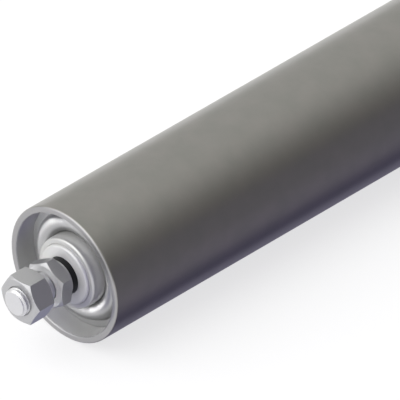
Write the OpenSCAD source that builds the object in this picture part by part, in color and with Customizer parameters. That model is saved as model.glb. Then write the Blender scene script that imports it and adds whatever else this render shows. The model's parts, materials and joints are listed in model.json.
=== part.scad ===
// Conveyor roller: a steel tube that turns on two ball bearings around a fixed shaft, whose
// threaded ends are clamped to the conveyor's side frames between a lock nut and a clamp nut.
// The roller lies along Y, with its centre at the origin. The pieces of each end are drawn in
// that end's own frame: z = 0 is the tube's end plane, and +z points away from the tube.
// Outlines are lists of [radius, z, rounding], revolved about the roller's axis.

/* [Tube] */
// Outside diameter of the tube
tube_od = 60; // [56:1:80]
// Wall thickness of the tube
tube_wall = 3; // [2.5:0.1:4]
// Length of the tube
tube_len = 300; // [120:10:800]
// Rounding of the outer edge at each end of the tube
tube_edge_round = 1; // [0.4:0.1:1.4]
// Rounding of the bore's edge at each end of the tube
tube_bore_round = 0.8; // [0.4:0.1:1]

/* [Shaft] */
// Diameter of the shaft and of its threaded ends
shaft_d = 12; // [10:0.5:13]
// How far the shaft stands out of each clamp nut
shaft_proud = 2.6; // [1:0.1:10]
// Chamfer on each end of the shaft
shaft_chamfer = 0.9; // [0.4:0.1:1.5]

/* [Nuts] */
// Width of both nuts across their flats
nut_af = 19; // [17:0.5:24]
// Height of the thin lock nut
lock_nut_h = 6; // [4:0.5:9]
// Height of the clamp nut
clamp_nut_h = 10; // [7:0.5:14]
// Gap between the two nuts, which the conveyor's side frame fills
frame_gap = 4.5; // [4.2:0.1:9]
// Distance from the tube's end to the lock nut
nut_standoff = 4.4; // [2:0.1:9]
// Angle of the bevel that takes the corners off the nuts' faces
nut_bevel_angle = 30; // [20:1:35]
// Flat rim that the bevel leaves beside each flat
nut_face_inset = 0.25; // [0.1:0.05:0.6]
// Depth of the countersink in both faces of each nut
nut_countersink = 0.4; // [0.3:0.1:1.2]

/* [Bearing] */
// Outside diameter of the ball bearing
bearing_od = 28; // [26:0.5:31]
// Width of the ball bearing
bearing_w = 8; // [7.5:0.1:10]
// Diameter of the balls
ball_d = 4.762; // [4.2:0.001:5.1]
// Number of balls in each bearing
ball_count = 8; // [6:1:9]
// Gap between the shoulders of the two rings
ring_gap = 3; // [2.6:0.1:3.4]
// Chamfer on the edges of the two rings
ring_chamfer = 0.5; // [0.2:0.1:0.7]
// Clearance between each ball and the grooves it rolls in
ball_clearance = 0.06; // [0.02:0.01:0.1]
// Thickness of the two shields that close the bearing
shield_sheet = 0.8; // [0.5:0.1:0.9]
// How far each shield lies below the bearing's face
shield_inset = 0.2; // [0.1:0.05:0.4]
// How far each shield is let into the outer ring
shield_bite = 0.8; // [0.4:0.1:1]
// Running clearance between each shield and the inner ring
shield_clearance = 0.15; // [0.05:0.05:0.3]

/* [Ball cage] */
// Radial thickness of the cage
cage_wall = 2.2; // [1.6:0.1:2.4]
// Length of the cage's fingers beyond the centres of the balls
cage_finger = 1; // [0.4:0.1:1.4]
// Thickness of the cage behind the balls
cage_back = 0.4; // [0.2:0.05:0.5]
// Clearance between each ball and its pocket
pocket_clearance = 0.08; // [0.04:0.01:0.15]

/* [Bearing cup and cover] */
// Wall thickness of the turned cup that holds the bearing
cup_wall = 1.6; // [1.2:0.1:2.4]
// Rounding of the cup's front edge
cup_edge_round = 1.1; // [0.4:0.1:1.2]
// Thickness of the cup's rear edge, which is rolled in behind the bearing
cup_rolled_edge = 0.8; // [0.5:0.1:1.5]
// How far the cup's front lip and rear edge reach in over the bearing
cup_lip = 0.7; // [0.5:0.05:1]
// Thickness of the cover's sheet
cover_sheet = 0.8; // [0.5:0.1:1]
// How far the cover stands out of the cup
cover_proud = 1.3; // [1:0.1:3]
// Inside radius of the cover's bends
cover_bend = 0.2; // [0.1:0.05:0.4]
// Clearance between the cover and the cup's lip
cover_clearance = 0.1; // [0.05:0.05:0.2]

/* [Spacer and washer] */
// Wall thickness of the spacer between the bearing and the washer
spacer_wall = 2.1; // [1.4:0.1:2.3]
// Running clearance between the spacer and the cover
spacer_clearance = 0.15; // [0.1:0.05:0.4]
// Thickness of the washer between the spacer and the lock nut
washer_h = 1.8; // [1:0.1:1.9]
// Chamfer on the washer's edge, on the nut's side
washer_chamfer = 0.8; // [0.2:0.1:0.9]

/* [End disc] */
// Thickness of the pressed sheet
disc_sheet = 1.5; // [1:0.1:1.8]
// Distance from the tube's end to the disc's flat flange
flange_depth = 9.5; // [8:0.1:20]
// Width of the flange, from the tube's bore to the foot of the bead
flange_width = 3.1; // [2.9:0.1:5]
// Height of the top of the collar above the flange
collar_rise = 1.1; // [0:0.1:2]
// Length of the collar that grips the cup
collar_len = 4; // [2:0.1:6]
// Height of the bead's peak above the flange, before it is rounded
bead_height = 8.5; // [5:0.1:9]
// Distance from the cup to the bead's peak
bead_offset = 5.2; // [4:0.1:6]
// Inside radius of the bead, as far as its two sides leave room for it
bead_round = 2.7; // [1:0.1:4]
// Inside radius of the disc's other bends
disc_bend = 0.6; // [0.3:0.1:0.8]
// Outside radius of the corner between skirt and flange, which the press strikes sharp
disc_corner = 0.3; // [0.2:0.1:1]
// Length of the skirt that is pressed into the tube
skirt_len = 12; // [6:0.5:20]

/* [Circlip] */
// Thickness of the circlip
circlip_sheet = 1; // [0.8:0.1:1.2]
// Depth of the circlip's groove in the shaft
groove_depth = 0.25; // [0.15:0.05:0.5]
// Play of the circlip along its groove
groove_play = 0.1; // [0.05:0.05:0.2]
// Radial width of the circlip opposite its gap
circlip_w = 1.8; // [1.2:0.1:2]
// Radial width of the circlip beside its gap
circlip_tip_w = 1.2; // [0.8:0.1:1.4]
// Radius of the circlip's two lugs
lug_r = 1.4; // [1.1:0.1:1.6]
// Diameter of the holes in the lugs
lug_hole_d = 1.5; // [0.8:0.1:1.8]
// Angle between the two lugs
lug_angle = 40; // [32:1:60]

/* [Hidden] */
$fn = 96;
// Largest step along a rounded corner, in degrees
arc_step = 10;

tube_r = tube_od / 2;
bore_r = tube_r - tube_wall;
shaft_r = shaft_d / 2;
seat_r = bearing_od / 2;
cup_r = seat_r + cup_wall;

// Stations along an end's own z axis, from the tube's end plane outwards
lock_nut_z = nut_standoff;
washer_z = lock_nut_z - washer_h;
clamp_nut_z = lock_nut_z + lock_nut_h + frame_gap;
shaft_end_z = clamp_nut_z + clamp_nut_h + shaft_proud;
// and inwards
cup_front_z = -cover_proud;
seat_front_z = cup_front_z - cup_wall;
bearing_front_z = seat_front_z - cover_sheet;
bearing_mid_z = bearing_front_z - bearing_w / 2;
bearing_back_z = bearing_front_z - bearing_w;
cup_back_z = bearing_back_z - cup_rolled_edge;
circlip_z = bearing_back_z - circlip_sheet;

crown_r = seat_r - cup_lip - cover_clearance;
spacer_r = shaft_r + spacer_wall;
cover_hole_r = spacer_r + spacer_clearance;

race_r = (shaft_r + seat_r) / 2;
inner_shoulder_r = race_r - ring_gap / 2;
outer_shoulder_r = race_r + ring_gap / 2;
shield_seat_r = outer_shoulder_r + shield_bite;
shield_front = bearing_w / 2 - shield_inset;
shield_back = shield_front - shield_sheet;

groove_r = shaft_r - groove_depth;
lug_centre_r = groove_r + circlip_tip_w + lug_r / 2;
half_tube = tube_len / 2;

ENDS = [["front", -1], ["rear", 1]];
END_PIECES = [
    "end_disc", "bearing_cup", "cover", "outer_ring", "inner_ring", "ball_cage",
    "outboard_shield", "inboard_shield", "spacer", "washer", "circlip", "lock_nut", "clamp_nut"
];

// ---- Rounded outlines ----

function unit(v) = v / norm(v);
function left_of(v) = [-v.y, v.x];
function turn(u, v) = atan2(cross(u, v), u * v);
function turned(v, a) = [v.x * cos(a) - v.y * sin(a), v.x * sin(a) + v.y * cos(a)];

// Length that a rounding takes from each side of the corner between directions u and v.
function reach(u, v, rounding) = rounding * tan(abs(turn(u, v)) / 2);

// Points of the arc of radius r about the centre of the rounding that fits the corner p
// between directions u and v: with r equal to the rounding, the rounded corner itself.
function arc(p, u, v, rounding, r) =
    let (
        a = turn(u, v),
        inward = left_of(u) * sign(a),
        centre = p - u * reach(u, v, rounding) + inward * rounding,
        steps = ceil(abs(a) / arc_step)
    )
    [for (k = [0 : steps]) centre - turned(inward, a * k / steps) * r];

// A closed outline with each corner rounded by its third number.
function rounded(outline) =
    let (
        n = len(outline),
        p = [for (row = outline) [row[0], row[1]]]
    )
    [for (i = [0 : n - 1])
        each outline[i][2] == 0
            ? [p[i]]
            : arc(p[i], unit(p[i] - p[(i + n - 1) % n]), unit(p[(i + 1) % n] - p[i]),
                  outline[i][2], outline[i][2])];

// The points that lie `deep` below the outer face of a bent sheet. The path runs along that
// face with the sheet on its left, and each row's third number is the bend's inside radius.
// A fourth number is the outside radius of a corner that is struck sharper than the bend.
function sheet_face(path, sheet, deep) =
    let (
        last = len(path) - 1,
        p = [for (row = path) [row[0], row[1]]]
    )
    [for (i = [0 : last])
        let (
            u = unit(p[max(i, 1)] - p[max(i, 1) - 1]),
            v = unit(p[min(i + 1, last)] - p[min(i, last - 1)]),
            bend = path[i][2],
            outside = deep == 0 && len(path[i]) > 3 ? path[i][3] : bend + sheet
        )
        each i == 0 || i == last ? [p[i] + left_of(u) * deep]
            : turn(u, v) > 0 ? arc(p[i], u, v, outside, outside - deep)
            : arc(p[i], u, v, bend, bend + deep)];

function bent_sheet(path, sheet) =
    let (back = sheet_face(path, sheet, sheet))
    concat(sheet_face(path, sheet, 0), [for (i = [len(back) - 1 : -1 : 0]) back[i]]);

module revolve(points) {
    rotate_extrude() polygon(points);
}

// Turns an end's own frame onto the roller: side is -1 for the front end and 1 for the rear.
module at_end(side) {
    translate([0, side * half_tube, 0]) rotate([-90 * side, 0, 0]) children();
}

// ---- Tube and shaft ----

module tube() {
    color("darkgray")
        rotate([90, 0, 0])
            revolve(rounded([
                [bore_r, -half_tube, tube_bore_round],
                [tube_r, -half_tube, tube_edge_round],
                [tube_r, half_tube, tube_edge_round],
                [bore_r, half_tube, tube_bore_round]
            ]));
}

module shaft() {
    tip = half_tube + shaft_end_z;
    end_r = shaft_r - shaft_chamfer;
    groove_front = half_tube + bearing_back_z;
    groove_back = groove_front - circlip_sheet - groove_play;
    color("silver")
        rotate([90, 0, 0])
            revolve([
                [0, -tip], [end_r, -tip], [shaft_r, -tip + shaft_chamfer],
                [shaft_r, -groove_front], [groove_r, -groove_front],
                [groove_r, -groove_back], [shaft_r, -groove_back],
                [shaft_r, groove_back], [groove_r, groove_back],
                [groove_r, groove_front], [shaft_r, groove_front],
                [shaft_r, tip - shaft_chamfer], [end_r, tip], [0, tip]
            ]);
}

// ---- Nuts ----

// A hexagon nut from z = 0 to z = h, both faces bevelled and countersunk.
module hex_nut(h) {
    corner_r = nut_af / 2 / cos(30);
    face_r = nut_af / 2 - nut_face_inset;
    bevel_h = (corner_r - face_r) * tan(nut_bevel_angle);
    sunk_r = shaft_r + nut_countersink;
    intersection() {
        cylinder(h = h, r = corner_r, $fn = 6);
        revolve([
            [sunk_r, 0], [face_r, 0], [corner_r, bevel_h],
            [corner_r, h - bevel_h], [face_r, h], [sunk_r, h],
            [shaft_r, h - nut_countersink], [shaft_r, nut_countersink]
        ]);
    }
}

module lock_nut() {
    color("lightgray") translate([0, 0, lock_nut_z]) rotate(30) hex_nut(lock_nut_h);
}

module clamp_nut() {
    color("lightgray") translate([0, 0, clamp_nut_z]) hex_nut(clamp_nut_h);
}

// ---- Bearing ----

module outer_ring() {
    half_w = bearing_w / 2;
    c = ring_chamfer;
    color("gainsboro")
        translate([0, 0, bearing_mid_z])
            difference() {
                revolve([
                    [seat_r - c, -half_w], [seat_r, -half_w + c],
                    [seat_r, half_w - c], [seat_r - c, half_w],
                    [shield_seat_r, half_w], [shield_seat_r, shield_back],
                    [outer_shoulder_r, shield_back], [outer_shoulder_r, -shield_back],
                    [shield_seat_r, -shield_back], [shield_seat_r, -half_w]
                ]);
                ball_groove();
            }
}

module inner_ring() {
    half_w = bearing_w / 2;
    c = ring_chamfer;
    color("gainsboro")
        translate([0, 0, bearing_mid_z])
            difference() {
                revolve([
                    [shaft_r, -half_w + c], [shaft_r + c, -half_w],
                    [inner_shoulder_r - c, -half_w], [inner_shoulder_r, -half_w + c],
                    [inner_shoulder_r, half_w - c], [inner_shoulder_r - c, half_w],
                    [shaft_r + c, half_w], [shaft_r, half_w - c]
                ]);
                ball_groove();
            }
}

// The ring-shaped space that the balls roll in, which leaves a groove in each ring.
module ball_groove() {
    rotate_extrude() translate([race_r, 0]) circle(r = ball_d / 2 + ball_clearance);
}

// The ring of pockets that keeps the balls apart; each ball snaps in from the front.
module ball_cage() {
    pocket_r = ball_d / 2 + pocket_clearance;
    back = pocket_r + cage_back;
    color("burlywood")
        translate([0, 0, bearing_mid_z])
            difference() {
                revolve([
                    [race_r - cage_wall / 2, -back], [race_r + cage_wall / 2, -back],
                    [race_r + cage_wall / 2, cage_finger], [race_r - cage_wall / 2, cage_finger]
                ]);
                for (i = [1 : ball_count]) at_ball(i) sphere(r = pocket_r);
            }
}

module at_ball(i) {
    rotate(360 * i / ball_count) translate([race_r, 0, 0]) children();
}

module ball(i) {
    color("whitesmoke") translate([0, 0, bearing_mid_z]) at_ball(i) sphere(d = ball_d);
}

// A flat ring that closes one face of the bearing; it turns with the outer ring.
module shield(z) {
    inner_r = inner_shoulder_r + shield_clearance;
    color("dimgray")
        translate([0, 0, bearing_mid_z + z])
            revolve([
                [inner_r, 0], [shield_seat_r, 0],
                [shield_seat_r, shield_sheet], [inner_r, shield_sheet]
            ]);
}

module outboard_shield() {
    shield(shield_back);
}

module inboard_shield() {
    shield(-shield_front);
}

// ---- What carries the bearing in the tube ----

module bearing_cup() {
    lip_r = seat_r - cup_lip;
    color("silver")
        revolve(rounded([
            [lip_r, cup_back_z, 0],
            [cup_r, cup_back_z, cup_rolled_edge],
            [cup_r, cup_front_z, cup_edge_round],
            [lip_r, cup_front_z, 0],
            [lip_r, seat_front_z, cover_bend],
            [seat_r, seat_front_z, 0],
            [seat_r, bearing_back_z, 0],
            [lip_r, bearing_back_z, 0]
        ]));
}

// A hat of thin sheet: its brim is held between the cup's lip and the bearing.
module cover() {
    color("silver")
        revolve(bent_sheet([
            [seat_r, seat_front_z, 0],
            [crown_r, seat_front_z, cover_bend],
            [crown_r, 0, cover_bend],
            [cover_hole_r, 0, 0]
        ], cover_sheet));
}

// A pressed disc: skirt in the tube, flat flange, ring-shaped bead, and collar on the cup.
module end_disc() {
    foot = [bore_r - flange_width, -flange_depth];
    peak = [cup_r + bead_offset, foot.y + bead_height];
    root = [cup_r, foot.y + collar_rise];
    up = unit(peak - foot);
    down = unit(root - peak);
    outer_side = norm(peak - foot) - reach([-1, 0], up, disc_bend);
    inner_side = norm(root - peak) - reach(down, [0, -1], disc_bend + disc_sheet);
    widest = min(outer_side, inner_side) / reach(up, down, 1) - disc_sheet;
    color("silver")
        revolve(bent_sheet([
            [bore_r, foot.y - skirt_len, 0],
            [bore_r, foot.y, disc_bend, disc_corner],
            [foot.x, foot.y, disc_bend],
            [peak.x, peak.y, min(bead_round, widest)],
            [root.x, root.y, disc_bend],
            [root.x, root.y - collar_len, 0]
        ], disc_sheet));
}

// ---- What holds the inner ring on the shaft ----

module spacer() {
    color("black")
        revolve([
            [shaft_r, bearing_front_z], [spacer_r, bearing_front_z],
            [spacer_r, washer_z], [shaft_r, washer_z]
        ]);
}

module washer() {
    color("lightgray")
        revolve([
            [shaft_r, washer_z], [spacer_r, washer_z], [spacer_r, lock_nut_z - washer_chamfer],
            [spacer_r - washer_chamfer, lock_nut_z], [shaft_r, lock_nut_z]
        ]);
}

// A spring ring, widest opposite its gap, with a lug and a plier hole on each tip.
module circlip() {
    spread = (circlip_w - circlip_tip_w) / 2;
    outer_r = groove_r + (circlip_w + circlip_tip_w) / 2;
    color("slategray")
        translate([0, 0, circlip_z])
            linear_extrude(circlip_sheet)
                difference() {
                    union() {
                        translate([-spread, 0]) circle(r = outer_r);
                        for (s = [-1, 1])
                            rotate(s * lug_angle / 2) translate([lug_centre_r, 0]) circle(r = lug_r);
                    }
                    circle(r = groove_r);
                    circlip_gap();
                    for (s = [-1, 1])
                        rotate(s * lug_angle / 2) translate([lug_centre_r, 0]) circle(d = lug_hole_d);
                }
}

// The wedge that opens the ring, up to the middle of each lug less its radius.
module circlip_gap() {
    far = 3 * shaft_r;
    half_gap = lug_angle / 2 - asin(lug_r / lug_centre_r);
    polygon([
        [0, 0],
        [far * cos(half_gap), -far * sin(half_gap)],
        [far * cos(half_gap), far * sin(half_gap)]
    ]);
}

// ---- The roller ----

tube();
shaft();
for (end = ENDS) at_end(end[1]) {
    end_disc();
    bearing_cup();
    cover();
    outer_ring();
    inner_ring();
    ball_cage();
    outboard_shield();
    inboard_shield();
    spacer();
    washer();
    circlip();
    lock_nut();
    clamp_nut();
    for (i = [1 : ball_count])
        ball(i);
}
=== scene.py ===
# %% [markdown]
# # A conveyor roller, dressed for the studio
#
# The roller is a steel tube that turns on two ball bearings around a shaft that stands still.
# Its solids come from the CAD model, in metres, with Y along the shaft and Z up. This lesson
# adds what the solids leave out: the threads on the shaft's ends, smooth light on the turned
# and pressed pieces, rounded edges on the nuts and washers, a finish for every material, and a
# small photo studio.

import json
import math

import bmesh
import bpy
from mathutils import Matrix, Vector


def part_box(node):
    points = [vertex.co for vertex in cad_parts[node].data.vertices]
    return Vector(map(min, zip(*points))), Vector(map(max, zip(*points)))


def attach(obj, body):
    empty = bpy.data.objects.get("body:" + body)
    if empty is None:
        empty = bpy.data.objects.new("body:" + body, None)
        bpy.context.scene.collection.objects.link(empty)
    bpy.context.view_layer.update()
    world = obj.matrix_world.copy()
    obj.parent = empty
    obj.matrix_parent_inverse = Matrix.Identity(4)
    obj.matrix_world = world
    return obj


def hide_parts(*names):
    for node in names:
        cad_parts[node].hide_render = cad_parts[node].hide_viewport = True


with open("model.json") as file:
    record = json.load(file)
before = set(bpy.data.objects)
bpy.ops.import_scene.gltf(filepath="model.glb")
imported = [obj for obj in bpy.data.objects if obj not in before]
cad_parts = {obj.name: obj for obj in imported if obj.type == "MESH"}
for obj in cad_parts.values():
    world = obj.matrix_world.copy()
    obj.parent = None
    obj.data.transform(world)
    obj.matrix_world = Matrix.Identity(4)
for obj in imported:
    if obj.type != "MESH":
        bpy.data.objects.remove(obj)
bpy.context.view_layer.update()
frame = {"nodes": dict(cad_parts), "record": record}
MM = 0.001

# %% [markdown]
# ## Helpers for node trees
#
# A finish is a small tree of nodes, and so is a shape that Geometry Nodes make. One function
# adds a node, sets it and links it, so that each tree below reads like a recipe, and a short one
# on top of it does a step of arithmetic. Another turns the colour codes that painters and web
# pages use into the linear numbers that Blender needs.

# %% Colour and node helpers
def linear(code):
    """A colour such as "#A0A0A0", as linear red, green, blue and alpha."""
    channels = [int(code[i:i + 2], 16) / 255 for i in (1, 3, 5)]
    return [c / 12.92 if c <= 0.04045 else ((c + 0.055) / 1.055) ** 2.4 for c in channels] + [1.0]


def add(tree, kind, inputs=None, **settings):
    """A new node: settings are its own options, inputs are values or other nodes' outputs."""
    node = tree.nodes.new(kind)
    for name, value in settings.items():
        setattr(node, name, value)
    for name, value in (inputs or {}).items():
        if isinstance(value, bpy.types.NodeSocket):
            tree.links.new(value, node.inputs[name])
        else:
            node.inputs[name].default_value = value
    return node


def maths(tree, operation, a, b=0.0):
    """One step of arithmetic on single numbers."""
    return add(tree, "ShaderNodeMath", {0: a, 1: b}, operation=operation).outputs[0]


print("a mid grey is", round(linear("#808080")[0], 3))

# %% [markdown]
# ## Sizes, read from the solids
#
# The shaft's radius and length, and where its thread ends, come from the boxes of the CAD
# pieces. What the boxes can't tell is written here. The chamfer at the shaft's tip, the
# circlip's groove and its play are the CAD model's own sizes, and the thread's pitch is the
# standard coarse one for a 12 mm shaft. The standard also makes the groove of a thread 0.6134
# of its pitch deep.

# %% Sizes
ENDS = ("front", "rear")
shaft_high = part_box("shaft")[1]
SHAFT_R = shaft_high.x
SHAFT_TIP = shaft_high.y
SHAFT_CHAMFER = 0.9 * MM
PITCH = 1.75 * MM
THREAD_DEPTH = 0.6134 * PITCH

# The thread starts inside the spacer, so the spacer, washer and lock nut hide its run-out.
THREAD_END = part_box("rear_spacer")[1].y - 1.5 * MM
RUN_OUT = 2.5 * MM

clip_low, clip_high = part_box("rear_circlip")
GROOVE_DEPTH = 0.25 * MM
GROOVE_PLAY = 0.1 * MM

# The end disc fills the tube's bore, so a radius just past it takes in every face of the bore.
BORE_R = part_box("front_end_disc")[1].x + 0.05 * MM
TUBE_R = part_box("tube")[1].x
TUBE_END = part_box("tube")[1].y
FACED_DEPTH = 0.4 * MM
print(f"shaft {2 * SHAFT_TIP / MM:.1f} mm long, thread from {THREAD_END / MM:.1f} mm to its tip")

# %% [markdown]
# ## The finishes
#
# Most of the steel that shows is thinly plated with zinc. Zinc mirrors the room in its own
# grey, but its fine crystals also scatter some light as paint does, so each recipe says which
# share of the skin is bare mirror: that share is its Metallic. What else tells the pieces apart
# is how they were made. A tube is drawn, a cup is turned on a lathe, a disc is pressed from
# sheet and nuts are forged, and each way leaves its own fine marks and its own gloss. So a
# recipe mixes two patterns, soft clouds 9 mm wide and the fine marks of the tool. The clouds
# make the colour uneven, both make the roughness uneven, and the marks also give a bump of two
# thousandths of a millimetre or less that breaks up the light.

# %% The recipe for a metal
def new_material(name):
    """An empty material with its shader and its output."""
    material = bpy.data.materials.new(name)
    material.use_nodes = True
    tree = material.node_tree
    tree.nodes.clear()
    shader = add(tree, "ShaderNodeBsdfPrincipled")
    add(tree, "ShaderNodeOutputMaterial", {"Surface": shader.outputs[0]})
    return material, tree, shader


def along_axis(tree, across, lengthwise):
    """Object coordinates in grains of this size, across the shaft's axis and along it."""
    place = add(tree, "ShaderNodeTexCoord").outputs["Object"]
    return add(tree, "ShaderNodeMapping", {
        "Vector": place, "Scale": (1 / across, 1 / lengthwise, 1 / across)}).outputs[0]


def round_axis(tree, pitch):
    """Coordinates that change only with the distance from the axis and along it: a lathe's."""
    place = add(tree, "ShaderNodeTexCoord").outputs["Object"]
    x, y, z = add(tree, "ShaderNodeSeparateXYZ", {0: place}).outputs
    radius = maths(tree, "SQRT", maths(tree, "ADD", maths(tree, "MULTIPLY", x, x),
                                       maths(tree, "MULTIPLY", z, z)))
    lathe = add(tree, "ShaderNodeCombineXYZ", {"X": radius, "Y": y}).outputs[0]
    return add(tree, "ShaderNodeVectorMath", {0: lathe, "Scale": 1 / pitch},
               operation="SCALE").outputs[0]


CLOUD = 9 * MM
NOISE_LOW, NOISE_HIGH = 0.3, 0.7  # nearly all the values of a noise lie between these


def metal(name, colour, shade, bare, roughness, spread, grain, bump):
    """A metal: bare is the share of it that mirrors, grain places fine marks bump high."""
    material, tree, shader = new_material(name)
    place = add(tree, "ShaderNodeTexCoord").outputs["Object"]
    clouds = add(tree, "ShaderNodeTexNoise", {
        "Vector": place, "Scale": 1 / CLOUD, "Detail": 3.0, "Roughness": 0.55}).outputs[0]
    marks = add(tree, "ShaderNodeTexNoise", {
        "Vector": grain(tree), "Scale": 1.0, "Detail": 2.0, "Roughness": 0.6}).outputs[0]
    tint = add(tree, "ShaderNodeMix", {
        "Factor": clouds, "A": linear(colour), "B": linear(shade)}, data_type="RGBA")
    gloss = add(tree, "ShaderNodeMapRange", {
        "Value": maths(tree, "ADD", maths(tree, "MULTIPLY", clouds, 0.5),
                       maths(tree, "MULTIPLY", marks, 0.5)),
        "From Min": NOISE_LOW, "From Max": NOISE_HIGH,
        "To Min": roughness - spread, "To Max": roughness + spread}).outputs[0]
    lines = add(tree, "ShaderNodeBump", {"Height": marks, "Strength": 1.0, "Distance": bump})
    tree.links.new(tint.outputs["Result"], shader.inputs["Base Color"])
    tree.links.new(gloss, shader.inputs["Roughness"])
    tree.links.new(lines.outputs[0], shader.inputs["Normal"])
    shader.inputs["Metallic"].default_value = bare
    return material


FINISH = {}

# %% [markdown]
# **Drawn tube.** Welded steel tube, drawn to size and zinc plated. Drawing leaves faint lines
# along the tube. They are drawn half a millimetre apart here, which is coarser than the real
# ones, because finer lines would not show. The plating is a warm grey satin with soft clouds,
# all mirror outside, where the sleeves and goods that roll over it keep it polished.

# %% Finishes of the tube, the shaft and the nuts
FINISH["plated_tube"] = metal(
    "zinc_plated_drawn_tube", "#AAA6A3", "#9A9B96", 1.0, 0.33, 0.02,
    lambda tree: along_axis(tree, 0.5 * MM, 30 * MM), 0.002 * MM)

# Bright drawn bar, whiter than the plated tube. Only its ends show, so the fine rings that the
# thread's die leaves there are drawn along all of it.
FINISH["drawn_shaft"] = metal(
    "bright_drawn_shaft", "#DADADA", "#D2D2D3", 0.72, 0.33, 0.03,
    lambda tree: round_axis(tree, 0.3 * MM), 0.002 * MM)

# Nuts are forged cold, washers are stamped, and both are plated in a barrel: bright zinc with
# no lines, only a fine grain.
FINISH["plated_nut"] = metal(
    "zinc_plated_forged_nut", "#BEBEBF", "#B6B6B7", 0.82, 0.32, 0.02,
    lambda tree: along_axis(tree, 0.6 * MM, 0.6 * MM), 0.002 * MM)

# Nothing rubs the inside of the tube, so there the plating stays chalky: less than half mirror.
# Its grey is paler than the outside's: painted light that lifts the bore out of the shade of the
# tube's own walls.
BORE = metal("chalky_lightened_tube_bore", "#C4C4C3", "#B8B8B7", 0.4, 0.36, 0.04,
             lambda tree: along_axis(tree, 1 * MM, 8 * MM), 0.002 * MM)

# The tube's ends are faced on a lathe, which leaves fine rings and a neutral, cooler grey.
FACED_END = metal("faced_tube_end", "#ABAAAB", "#A3A2A4", 1.0, 0.33, 0.02,
                  lambda tree: round_axis(tree, 0.3 * MM), 0.002 * MM)

# %% [markdown]
# **Pressed sheet and turned steel.** The end disc is pressed deep from sheet, which stretches
# its skin smooth. The bearing cup comes off a lathe, and its light lies in fine rings around the
# axis.

# %% Finishes of the end disc, the cover and the cup
FINISH["plated_pressing"] = metal(
    "zinc_plated_pressing", "#B6B6B7", "#AEAEAF", 0.95, 0.32, 0.02,
    lambda tree: along_axis(tree, 1.2 * MM, 1.2 * MM), 0.0008 * MM)
FINISH["plated_cup"] = metal(
    "zinc_plated_turned_cup", "#C8C8C6", "#BEBEBC", 0.6, 0.31, 0.015,
    lambda tree: round_axis(tree, 0.35 * MM), 0.002 * MM)

# The press hardly stretches the flat cover, so it keeps the duller skin of rolled sheet.
# Its grey is paler than the disc's: painted light that lifts the cover out of the shade and dark
# reflections of the nuts in front of it.
COVER = metal("satin_lightened_cover", "#C8C8C6", "#C0C0BF", 0.4, 0.42, 0.04,
              lambda tree: along_axis(tree, 0.8 * MM, 0.8 * MM), 0.002 * MM)

# %% [markdown]
# **Inside the bearing.** Rings and balls are ground and polished until they mirror the room,
# and the circlip is dark grey spring steel. The cage is moulded nylon and the shields are
# rubber. The spacer outside is turned steel with a black oxide skin.

# %% Finishes of the bearing's steel and the spacer
FINISH["bearing_steel"] = metal(
    "polished_bearing_steel", "#D6D6D8", "#D0D0D3", 1.0, 0.14, 0.02,
    lambda tree: round_axis(tree, 0.2 * MM), 0.0005 * MM)
FINISH["black_steel"] = metal(
    "black_oxide_steel", "#242425", "#1E1E1F", 0.7, 0.42, 0.05,
    lambda tree: round_axis(tree, 0.3 * MM), 0.002 * MM)
FINISH["spring_steel"] = metal(
    "phosphated_spring_steel", "#4A4A4C", "#3E3E40", 0.7, 0.45, 0.05,
    lambda tree: along_axis(tree, 0.4 * MM, 0.4 * MM), 0.002 * MM)
print(len(FINISH), "slots of metal")

# %% Finishes of nylon and rubber
MOULD_GRAIN_HEIGHT = 0.004 * MM


def moulded(name, colour, shade, roughness, grain):
    """A moulded plastic or rubber: no metal, and the fine matt grain of its mould."""
    material, tree, shader = new_material(name)
    marks = add(tree, "ShaderNodeTexNoise", {
        "Vector": along_axis(tree, grain, grain), "Scale": 1.0, "Detail": 3.0}).outputs[0]
    tint = add(tree, "ShaderNodeMix", {
        "Factor": marks, "A": linear(colour), "B": linear(shade)}, data_type="RGBA")
    bump = add(tree, "ShaderNodeBump", {"Height": marks, "Distance": MOULD_GRAIN_HEIGHT})
    tree.links.new(tint.outputs["Result"], shader.inputs["Base Color"])
    tree.links.new(bump.outputs[0], shader.inputs["Normal"])
    shader.inputs["Roughness"].default_value = roughness
    return material


FINISH["cage_nylon"] = moulded("moulded_nylon", "#D9C79C", "#CDBA8C", 0.45, 0.5 * MM)
FINISH["shield_rubber"] = moulded("nitrile_rubber", "#1C1C1D", "#232324", 0.6, 0.3 * MM)

for part in frame["record"]["subparts"]:
    node = frame["nodes"][part["node"]]
    node.data.materials.clear()
    node.data.materials.append(FINISH[part["material_slot"]])

# %% [markdown]
# ## Smooth light on round pieces
#
# The CAD model describes a bend as a stack of narrow cones, and each cone keeps its own flat
# light, so a pressed bead would show rings. The cure is a copy of the piece with its loose
# triangles merged into one skin, whose edges stay crisp only where they turn by more than
# 28 degrees. The copy takes the CAD piece's place and moves with the same body. The tube's copy
# has three finishes: drawn outside, chalky in the bore, where a paler grey is painted light
# against the shade inside the tube, and faced within 0.4 mm of its ends.

# %% Merge and smooth the visible round pieces
BODY = {piece: body for body, pieces in frame["record"]["behaviour"]["bodies"].items()
        for piece in pieces}
SLOT = {part["node"]: part["material_slot"] for part in frame["record"]["subparts"]}
CREASE = 28
MERGE_WITHIN = 0.0005 * MM


def smooth_copy(node, name, finish=None, crease=CREASE):
    """A copy of a CAD piece as one skin, creased where it turns by more than crease degrees."""
    shell = bmesh.new()
    shell.from_mesh(frame["nodes"][node].data)
    bmesh.ops.remove_doubles(shell, verts=shell.verts, dist=MERGE_WITHIN)
    for face in shell.faces:
        face.smooth = True
    for edge in shell.edges:
        edge.smooth = edge.is_manifold and edge.calc_face_angle() < math.radians(crease)
    mesh = bpy.data.meshes.new(name)
    shell.to_mesh(mesh)
    shell.free()
    mesh.materials.append(finish or FINISH[SLOT[node]])
    piece = bpy.data.objects.new(name, mesh)
    bpy.context.scene.collection.objects.link(piece)
    return piece


def stand_in(piece, node):
    """Let a piece take the place of a CAD piece, on its body."""
    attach(piece, BODY[node])
    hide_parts(node)
    print(piece.name, len(piece.data.polygons), "faces")


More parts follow.
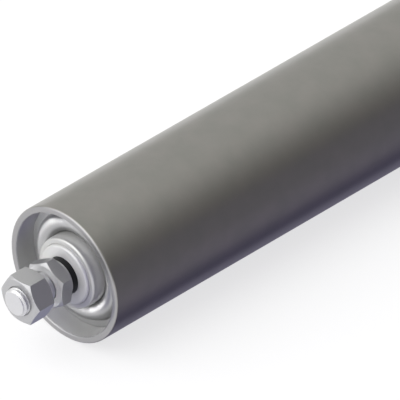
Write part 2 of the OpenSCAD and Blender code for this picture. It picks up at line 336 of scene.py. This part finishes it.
SMOOTHED = (("end_disc", "pressed_disc", None),
            ("cover", "pressed_cover", COVER),
            ("bearing_cup", "turned_cup", None))
for end in ENDS:
    for kind, name, finish in SMOOTHED:
        node = f"{end}_{kind}"
        stand_in(smooth_copy(node, f"{end}_{name}", finish), node)

BORE_SLOT, FACED_SLOT = 1, 2  # the order in which the two are added after the first
tube = smooth_copy("tube", "drawn_tube")
tube.data.materials.append(BORE)
tube.data.materials.append(FACED_END)
# Faces inside the bore take the paler copy of the plating: painted light inside the tube.
for face in tube.data.polygons:
    if Vector((face.center.x, face.center.z)).length < BORE_R:
        face.material_index = BORE_SLOT
    elif abs(face.center.y) > TUBE_END - FACED_DEPTH:
        face.material_index = FACED_SLOT
stand_in(tube, "tube")

# %% [markdown]
# Forging and stamping leave no edge truly sharp. A Bevel modifier rounds the nuts and washers
# by 0.15 mm wherever they turn by more than 15 degrees, just enough to draw a fine line of light
# along each edge.

# %% Round the edges of nuts and washers
EDGE_ROUND = 0.15 * MM
EDGE_TURN = 15
ROUNDED = (("clamp_nut", "forged_clamp_nut"),
           ("lock_nut", "forged_lock_nut"),
           ("washer", "stamped_washer"))
for end in ENDS:
    for kind, name in ROUNDED:
        node = f"{end}_{kind}"
        piece = smooth_copy(node, f"{end}_{name}", crease=EDGE_TURN)
        edges = piece.modifiers.new("edges", "BEVEL")
        edges.width = EDGE_ROUND
        edges.segments = 2
        edges.limit_method = "ANGLE"
        edges.angle_limit = math.radians(EDGE_TURN)
        edges.harden_normals = True
        stand_in(piece, node)

# %% [markdown]
# ## The threaded shaft
#
# The CAD shaft is plain, because a thread is too fine for its solids. A thread is a groove
# that follows one rule: walk round the shaft once and it has moved along by one pitch. That
# rule fits in a few Geometry Nodes. The input is a line along the axis that carries the
# turned blank's radius at each point. The tree sweeps a circle along it, works out for every
# point how far round the helix it lies, and sinks it to the depth of a standard thread.
# Taking the smaller of the two radii lets the chamfer at the tip cut through the thread, as it
# does on the real one, and the groove runs out gently where the die stopped.

# %% The turned blank, as a line with radii
RINGS_PER_PITCH = 16
OFF_MIDDLE = 0.05 * MM
SQUARE_STEP = 0.001 * MM  # two stations this close stand for one square step


def blank_stations():
    """Where the shaft's outline bends, from its middle to its tip, with its radius there."""
    steps = math.ceil((SHAFT_TIP - THREAD_END) / (PITCH / RINGS_PER_PITCH))
    step = (SHAFT_TIP - THREAD_END) / steps
    groove_from, groove_to = clip_low.y - GROOVE_PLAY, clip_high.y
    yield OFF_MIDDLE, SHAFT_R
    yield groove_from - SQUARE_STEP, SHAFT_R
    yield groove_from, SHAFT_R - GROOVE_DEPTH
    yield groove_to, SHAFT_R - GROOVE_DEPTH
    yield groove_to + SQUARE_STEP, SHAFT_R
    for i in range(steps + 1):
        y = THREAD_END + i * step
        yield y, min(SHAFT_R, SHAFT_R - SHAFT_CHAMFER + SHAFT_TIP - y)


half = list(blank_stations())
stations = [(-y, r) for y, r in reversed(half)] + half
line = bpy.data.meshes.new("turned_blank")
line.from_pydata([(0, y, 0) for y, r in stations],
                 [(i, i + 1) for i in range(len(stations) - 1)], [])
line.attributes.new("turned_radius", "FLOAT", "POINT").data.foreach_set(
    "value", [r for y, r in stations])
print(len(stations), "stations along the shaft")

# %% The tree that sweeps the blank and cuts the thread
ROUND_STEPS = 96
ROOT_FLAT = 0.125    # half the flat at the groove's root, in pitches
CREST_FLAT = 0.0625  # half the flat at the thread's crest, in pitches
SHARP_TURN = 38
tree = bpy.data.node_groups.new("cut_thread", "GeometryNodeTree")
tree.interface.new_socket("Blank", in_out="INPUT", socket_type="NodeSocketGeometry")
THREAD_INPUTS = {
    "Shaft radius": SHAFT_R, "Pitch": PITCH, "Depth": THREAD_DEPTH,
    "Thread end": THREAD_END, "Run-out": RUN_OUT,
}
for name in THREAD_INPUTS:
    tree.interface.new_socket(name, in_out="INPUT", socket_type="NodeSocketFloat")
tree.interface.new_socket("Finish", in_out="INPUT", socket_type="NodeSocketMaterial")
tree.interface.new_socket("Shaft", in_out="OUTPUT", socket_type="NodeSocketGeometry")
given = add(tree, "NodeGroupInput").outputs

# Sweep: a circle along the line, as wide at each point as the blank is there.
curve = add(tree, "GeometryNodeMeshToCurve", {"Mesh": given["Blank"]}).outputs[0]
circle = add(tree, "GeometryNodeCurvePrimitiveCircle", {
    "Resolution": ROUND_STEPS, "Radius": 1.0})
blank_r = add(tree, "GeometryNodeInputNamedAttribute", {"Name": "turned_radius"},
              data_type="FLOAT").outputs[0]
swept = add(tree, "GeometryNodeCurveToMesh", {
    "Curve": curve, "Profile Curve": circle.outputs[0], "Scale": blank_r,
    "Fill Caps": True}).outputs[0]

# Helix: one turn about the axis moves the groove by one pitch, right-handed.
x, y, z = add(tree, "ShaderNodeSeparateXYZ", {
    0: add(tree, "GeometryNodeInputPosition").outputs[0]}).outputs
turns = maths(tree, "DIVIDE", maths(tree, "ARCTAN2", x, z), 2 * math.pi)
phase = maths(tree, "FRACT", maths(tree, "SUBTRACT", maths(tree, "DIVIDE", y, given["Pitch"]),
                                   turns))
from_root = maths(tree, "ABSOLUTE", maths(tree, "SUBTRACT", phase, 0.5))

# Groove: flat at its root and at the crest, with sides 54 degrees apart, near the standard's 60.
sunk = add(tree, "ShaderNodeMapRange", {
    "Value": from_root, "From Min": ROOT_FLAT, "From Max": 0.5 - CREST_FLAT,
    "To Min": 1.0, "To Max": 0.0}).outputs[0]
started = add(tree, "ShaderNodeMapRange", {
    "Value": maths(tree, "ABSOLUTE", y), "From Min": given["Thread end"],
    "From Max": maths(tree, "ADD", given["Thread end"], given["Run-out"]),
    "To Min": 0.0, "To Max": 1.0}, interpolation_type="SMOOTHSTEP").outputs[0]
groove = maths(tree, "MULTIPLY", maths(tree, "MULTIPLY", sunk, started), given["Depth"])
thread_r = maths(tree, "SUBTRACT", given["Shaft radius"], groove)
now_r = maths(tree, "SQRT", maths(tree, "ADD", maths(tree, "MULTIPLY", x, x),
                                  maths(tree, "MULTIPLY", z, z)))
share = maths(tree, "DIVIDE", maths(tree, "MINIMUM", now_r, thread_r), now_r)
placed = add(tree, "ShaderNodeCombineXYZ", {
    "X": maths(tree, "MULTIPLY", x, share), "Y": y, "Z": maths(tree, "MULTIPLY", z, share)})
cut = add(tree, "GeometryNodeSetPosition", {
    "Geometry": swept, "Position": placed.outputs[0]}).outputs[0]

# Finish: smooth light except over the sharp edges, then real geometry with its material.
bend = add(tree, "GeometryNodeInputMeshEdgeAngle").outputs[0]
sharp = maths(tree, "GREATER_THAN", bend, math.radians(SHARP_TURN))
crisp = add(tree, "GeometryNodeSetShadeSmooth", {
    "Geometry": cut, "Selection": sharp, "Shade Smooth": False}, domain="EDGE").outputs[0]
real = add(tree, "GeometryNodeRealizeInstances", {"Geometry": crisp}).outputs[0]
done = add(tree, "GeometryNodeSetMaterial", {
    "Geometry": real, "Material": given["Finish"]}).outputs[0]
add(tree, "NodeGroupOutput", {"Shaft": done})
print(len(tree.nodes), "nodes cut the thread")

# %% Run the tree and keep its result as a plain mesh
def run_tree(tree, mesh, name, values):
    """The plain mesh that a tree makes from a mesh, with its named inputs set."""
    maker = bpy.data.objects.new(name + "_maker", mesh)
    bpy.context.scene.collection.objects.link(maker)
    modifier = maker.modifiers.new("maker", "NODES")
    modifier.node_group = tree
    for item in tree.interface.items_tree:
        if item.in_out == "INPUT" and item.name in values:
            modifier[item.identifier] = values[item.name]
    evaluated = maker.evaluated_get(bpy.context.evaluated_depsgraph_get())
    result = bpy.data.meshes.new_from_object(evaluated)
    result.name = name
    bpy.data.objects.remove(maker)
    piece = bpy.data.objects.new(name, result)
    bpy.context.scene.collection.objects.link(piece)
    return piece


shaft = run_tree(tree, line, "threaded_shaft",
                 {**THREAD_INPUTS, "Finish": FINISH["drawn_shaft"]})
stand_in(shaft, "shaft")

# %% [markdown]
# ## The studio
#
# Bare metal has hardly any colour of its own: it shows the room. So the room is designed as
# for a product shot, and it comes in four parts: a pale floor, dark cards to mirror, soft
# lamps and a sky. The floor is nearly white. A camera or a mirror sees it mixed with a glow of
# its own, which lightens the shadow that the roller casts and adds nothing to the light on dull
# surfaces. For the light that it throws back on these it is grey instead, as if dark cloth lay
# just out of view, so that the undersides stay dark.

# %% Floor
FLOOR_Z = -TUBE_R
FLOOR_SIZE = 80  # metres, so that its edge is out of sight in all but the lowest views
FLOOR_SEEN, FLOOR_THROWN = "#F6F6F6", "#6E6E78"
GLOW_SHARE = 0.7
bpy.ops.mesh.primitive_plane_add(size=FLOOR_SIZE, location=(0, 0, FLOOR_Z))
floor = bpy.context.object
floor.name = "floor"
floor_paint, tree, shader = new_material("pale_floor")
shader.inputs["Roughness"].default_value = 0.9
shader.inputs["Specular IOR Level"].default_value = 0.2
ray = add(tree, "ShaderNodeLightPath").outputs
bounce = add(tree, "ShaderNodeMix", {
    "Factor": ray["Is Diffuse Ray"], "A": linear(FLOOR_SEEN), "B": linear(FLOOR_THROWN)},
    data_type="RGBA").outputs["Result"]
tree.links.new(bounce, shader.inputs["Base Color"])
seen = maths(tree, "MAXIMUM", ray["Is Camera Ray"], ray["Is Glossy Ray"])
glow = add(tree, "ShaderNodeEmission", {"Color": linear("#FFFFFF"), "Strength": 1.0}).outputs[0]
mixed = add(tree, "ShaderNodeMixShader", {
    0: maths(tree, "MULTIPLY", seen, GLOW_SHARE), 1: shader.outputs[0], 2: glow}).outputs[0]
tree.links.new(mixed, tree.nodes["Material Output"].inputs["Surface"])
floor.data.materials.append(floor_paint)
print("floor at", round(FLOOR_Z / MM, 1), "mm")

# %% [markdown]
# Photographers give metal its dark side with cards that stand just out of view, and only
# mirrored light sees these: they cast no shadow, and no camera view shows them. Here the cards
# glow with their own light instead of being lit, so what the metal mirrors in them is painted
# shade. The big one lies on the floor under the tube's right half and beyond, and bends up at
# its far edge. It glows in violet greys, with a dark band of painted shade just beside the tube.
# The small violet one hangs below the front nuts, and its glow is a painted reflection that keeps
# their undersides from melting into the white floor.

# %% Cards for the metal to mirror
def colour_ramp(tree, stops, place):
    """A colour ramp through these positions and colours, read at place."""
    ramp = add(tree, "ShaderNodeValToRGB", {"Fac": place})
    for position, colour in stops[1:-1]:
        ramp.color_ramp.elements.new(position)
    for element, (position, colour) in zip(ramp.color_ramp.elements, stops):
        element.position, element.color = position, linear(colour)
    return ramp.outputs[0]


def hang_card(name, line, y_from, y_to, stops):
    """A card bent along a line of (x, z) points that glows in the stops' colours from side to
    side, as painted shade for metal to mirror.
    """
    mesh = bpy.data.meshes.new(name)
    mesh.from_pydata([(x, y, z) for y in (y_from, y_to) for x, z in line], [],
                     [(i, i + 1, i + 1 + len(line), i + len(line)) for i in range(len(line) - 1)])
    card = bpy.data.objects.new(name, mesh)
    bpy.context.scene.collection.objects.link(card)
    card.visible_camera = card.visible_diffuse = card.visible_shadow = False
    paint = bpy.data.materials.new(name)
    paint.use_nodes = True
    tree = paint.node_tree
    tree.nodes.clear()
    x = add(tree, "ShaderNodeSeparateXYZ", {
        0: add(tree, "ShaderNodeTexCoord").outputs["Object"]}).outputs[0]
    across = add(tree, "ShaderNodeMapRange", {
        "Value": x, "From Min": line[0][0], "From Max": line[-1][0]}).outputs[0]
    glow = add(tree, "ShaderNodeEmission", {"Color": colour_ramp(tree, stops, across)}).outputs[0]
    add(tree, "ShaderNodeOutputMaterial", {"Surface": glow})
    mesh.materials.append(paint)
    print(name, "is", round((y_to - y_from) / MM), "mm long")


CARD_NEAR, CARD_FAR, CARD_TOP = 4 * MM, 170 * MM, FLOOR_Z + 60 * MM
CARD_Z = FLOOR_Z + 0.5 * MM
CARD_REAR = 500 * MM
# The big card's glow colours: painted shade for the tube's dark side to mirror, darkest in the
# band beside the tube.
CARD_PAINTED_SHADE_GREYS = (
    (0.00, "#8A8798"), (0.136, "#87849A"), (0.172, "#55526A"), (0.22, "#66627A"),
    (0.325, "#8D8998"), (0.578, "#8A8793"), (1.00, "#807E86"),
)
hang_card("violet_card", [(CARD_NEAR, CARD_Z), (CARD_FAR, CARD_Z), (CARD_FAR, CARD_TOP)],
          -TUBE_END, CARD_REAR, CARD_PAINTED_SHADE_GREYS)

NUT_CARD_LEFT, NUT_CARD_RIGHT, NUT_CARD_Z = -6 * MM, 16 * MM, -18 * MM
NUT_CARD_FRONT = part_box("front_clamp_nut")[0].y + 3 * MM
NUT_CARD_REAR = -TUBE_END - 2 * MM
# The small card's glow: a painted reflection of shade for the undersides of the front nuts.
NUT_CARD_PAINTED_VIOLET = "#A0A0B6"
hang_card("nut_card", [(NUT_CARD_LEFT, NUT_CARD_Z), (NUT_CARD_RIGHT, NUT_CARD_Z)],
          NUT_CARD_FRONT, NUT_CARD_REAR, [(0.0, NUT_CARD_PAINTED_VIOLET), (1.0, NUT_CARD_PAINTED_VIOLET)])

# %% [markdown]
# Suns stand for soft boxes. The key comes from the front left and is so broad that its shadow
# has no edge. It is two suns in one place, and metal mirrors only the first: mirrored whole,
# the key would turn the tube's far side plain white. A weak one above fills the gap between
# the nuts. A violet one from the right tints the sides that turn away from the key, and no
# mirror shows it, because as a stripe of violet along the tube it would look painted.
#
# The last two shine up from the lower left, as light thrown back by a white table would, into
# the roller's front end only. One draws streaks on the bead of the disc, the other lights the
# faces that hide behind the clamp nut. Light linking keeps each to its own pieces. Both shine
# through the floor and whatever else is in between: without shadows, and without multiple
# importance sampling, which would find what stands in the way. That has a price: seen straight
# on, the disc's lamp leaves a few bright flecks on the disc.
#
# The sky is a ramp of greys: light at the upper left, and dusky violet at the lower right,
# which the tube's dark side mirrors.

# %% Suns
def sun(name, source, strength, width, colour="#FFFFFF"):
    """A soft sun that shines from the direction source, width degrees across."""
    lamp = bpy.data.lights.new(name, "SUN")
    lamp.energy = strength
    lamp.color = linear(colour)[:3]
    lamp.angle = math.radians(width)
    holder = bpy.data.objects.new(name, lamp)
    holder.rotation_euler = Vector(source).to_track_quat("Z", "Y").to_euler()
    bpy.context.scene.collection.objects.link(holder)
    return holder


KEY = {"source": (-0.34, -0.76, 0.55), "strength": 1.3, "width": 75}
sun("key_softbox", **KEY)
unmirrored_key = sun("unmirrored_key", **KEY)
sun("top_softbox", (-0.05, -0.40, 0.92), strength=0.4, width=50)
violet = sun("violet_fill", (0.93, -0.34, 0.10), strength=1.2, width=40, colour="#8A7CF0")
unmirrored_key.visible_glossy = violet.visible_glossy = False


def table_glow(name, source, strength, width, pieces):
    """A sun without shadows that lights only these pieces."""
    glow = sun(name, source, strength, width)
    glow.data.use_shadow = False
    glow.data.cycles.use_multiple_importance_sampling = False
    lit = bpy.data.collections.new(name)
    for piece in pieces:
        lit.objects.link(bpy.data.objects[piece])
    glow.light_linking.receiver_collection = lit


table_glow("bead_glow", (-0.86, -0.40, -0.32), strength=0.42, width=32,
           pieces=["front_pressed_disc"])
table_glow("face_glow", (-0.58, -0.58, -0.58), strength=0.2, width=40,
           pieces=["front_forged_lock_nut", "front_pressed_cover"])

# %% Sky
SKY_LIGHTEST_AT = Vector((-0.62, -0.30, 0.72)).normalized()
SKY_STRENGTH = 1.25
SKY = (
    (0.15, "#68647A"), (0.24, "#6C6A70"), (0.31, "#716F6D"), (0.44, "#8B8A88"), (0.60, "#B0B0AE"),
    (0.70, "#C4C4C1"), (0.80, "#C8C8C6"), (1.00, "#CCCCCB"),
)
world = bpy.data.worlds.new("studio_sky")
bpy.context.scene.world = world
world.use_nodes = True
tree = world.node_tree
tree.nodes.clear()
direction = add(tree, "ShaderNodeTexCoord").outputs["Generated"]
side = add(tree, "ShaderNodeVectorMath", {
    0: direction, 1: SKY_LIGHTEST_AT}, operation="DOT_PRODUCT").outputs["Value"]
level = add(tree, "ShaderNodeMapRange", {
    "Value": side, "From Min": -1.0, "From Max": 1.0, "To Min": 0.0, "To Max": 1.0})
sky = add(tree, "ShaderNodeBackground", {
    "Color": colour_ramp(tree, SKY, level.outputs[0]), "Strength": SKY_STRENGTH})
add(tree, "ShaderNodeOutputWorld", {"Surface": sky.outputs[0]})
print("a sky in", len(SKY), "colours")

# %% [markdown]
# ## The camera
#
# The roller is seen as engineers draw things: from 45 degrees round and 35 degrees above,
# with hardly any perspective. A very long lens from far away gives that look. It aims to the
# right of the tube's front end and above it, so that the tube runs out of view.

# %% Camera
RIGHT = Vector((1, 1, 0)).normalized()
UP = Vector((-1, 1, 2)).normalized()
BACK = RIGHT.cross(UP)
VIEW_WIDTH = 158.86 * MM
AIM_RIGHT, AIM_UP = 54.2 * MM, 29.9 * MM
LENS = 1600.0  # millimetres
FARTHEST_SEEN = 100.0  # metres
aim = Vector((0, -TUBE_END, 0)) + RIGHT * AIM_RIGHT + UP * AIM_UP
camera = bpy.data.cameras.new("camera")
camera.lens = LENS
camera.clip_end = FARTHEST_SEEN
distance = VIEW_WIDTH * LENS / camera.sensor_width
holder = bpy.data.objects.new("camera", camera)
holder.matrix_world = (Matrix.Translation(aim + BACK * distance)
                       @ Matrix((RIGHT, UP, BACK)).transposed().to_4x4())
bpy.context.scene.collection.objects.link(holder)
bpy.context.scene.camera = holder
bpy.context.scene.view_settings.view_transform = "Standard"
print("camera", round(distance, 2), "m away")
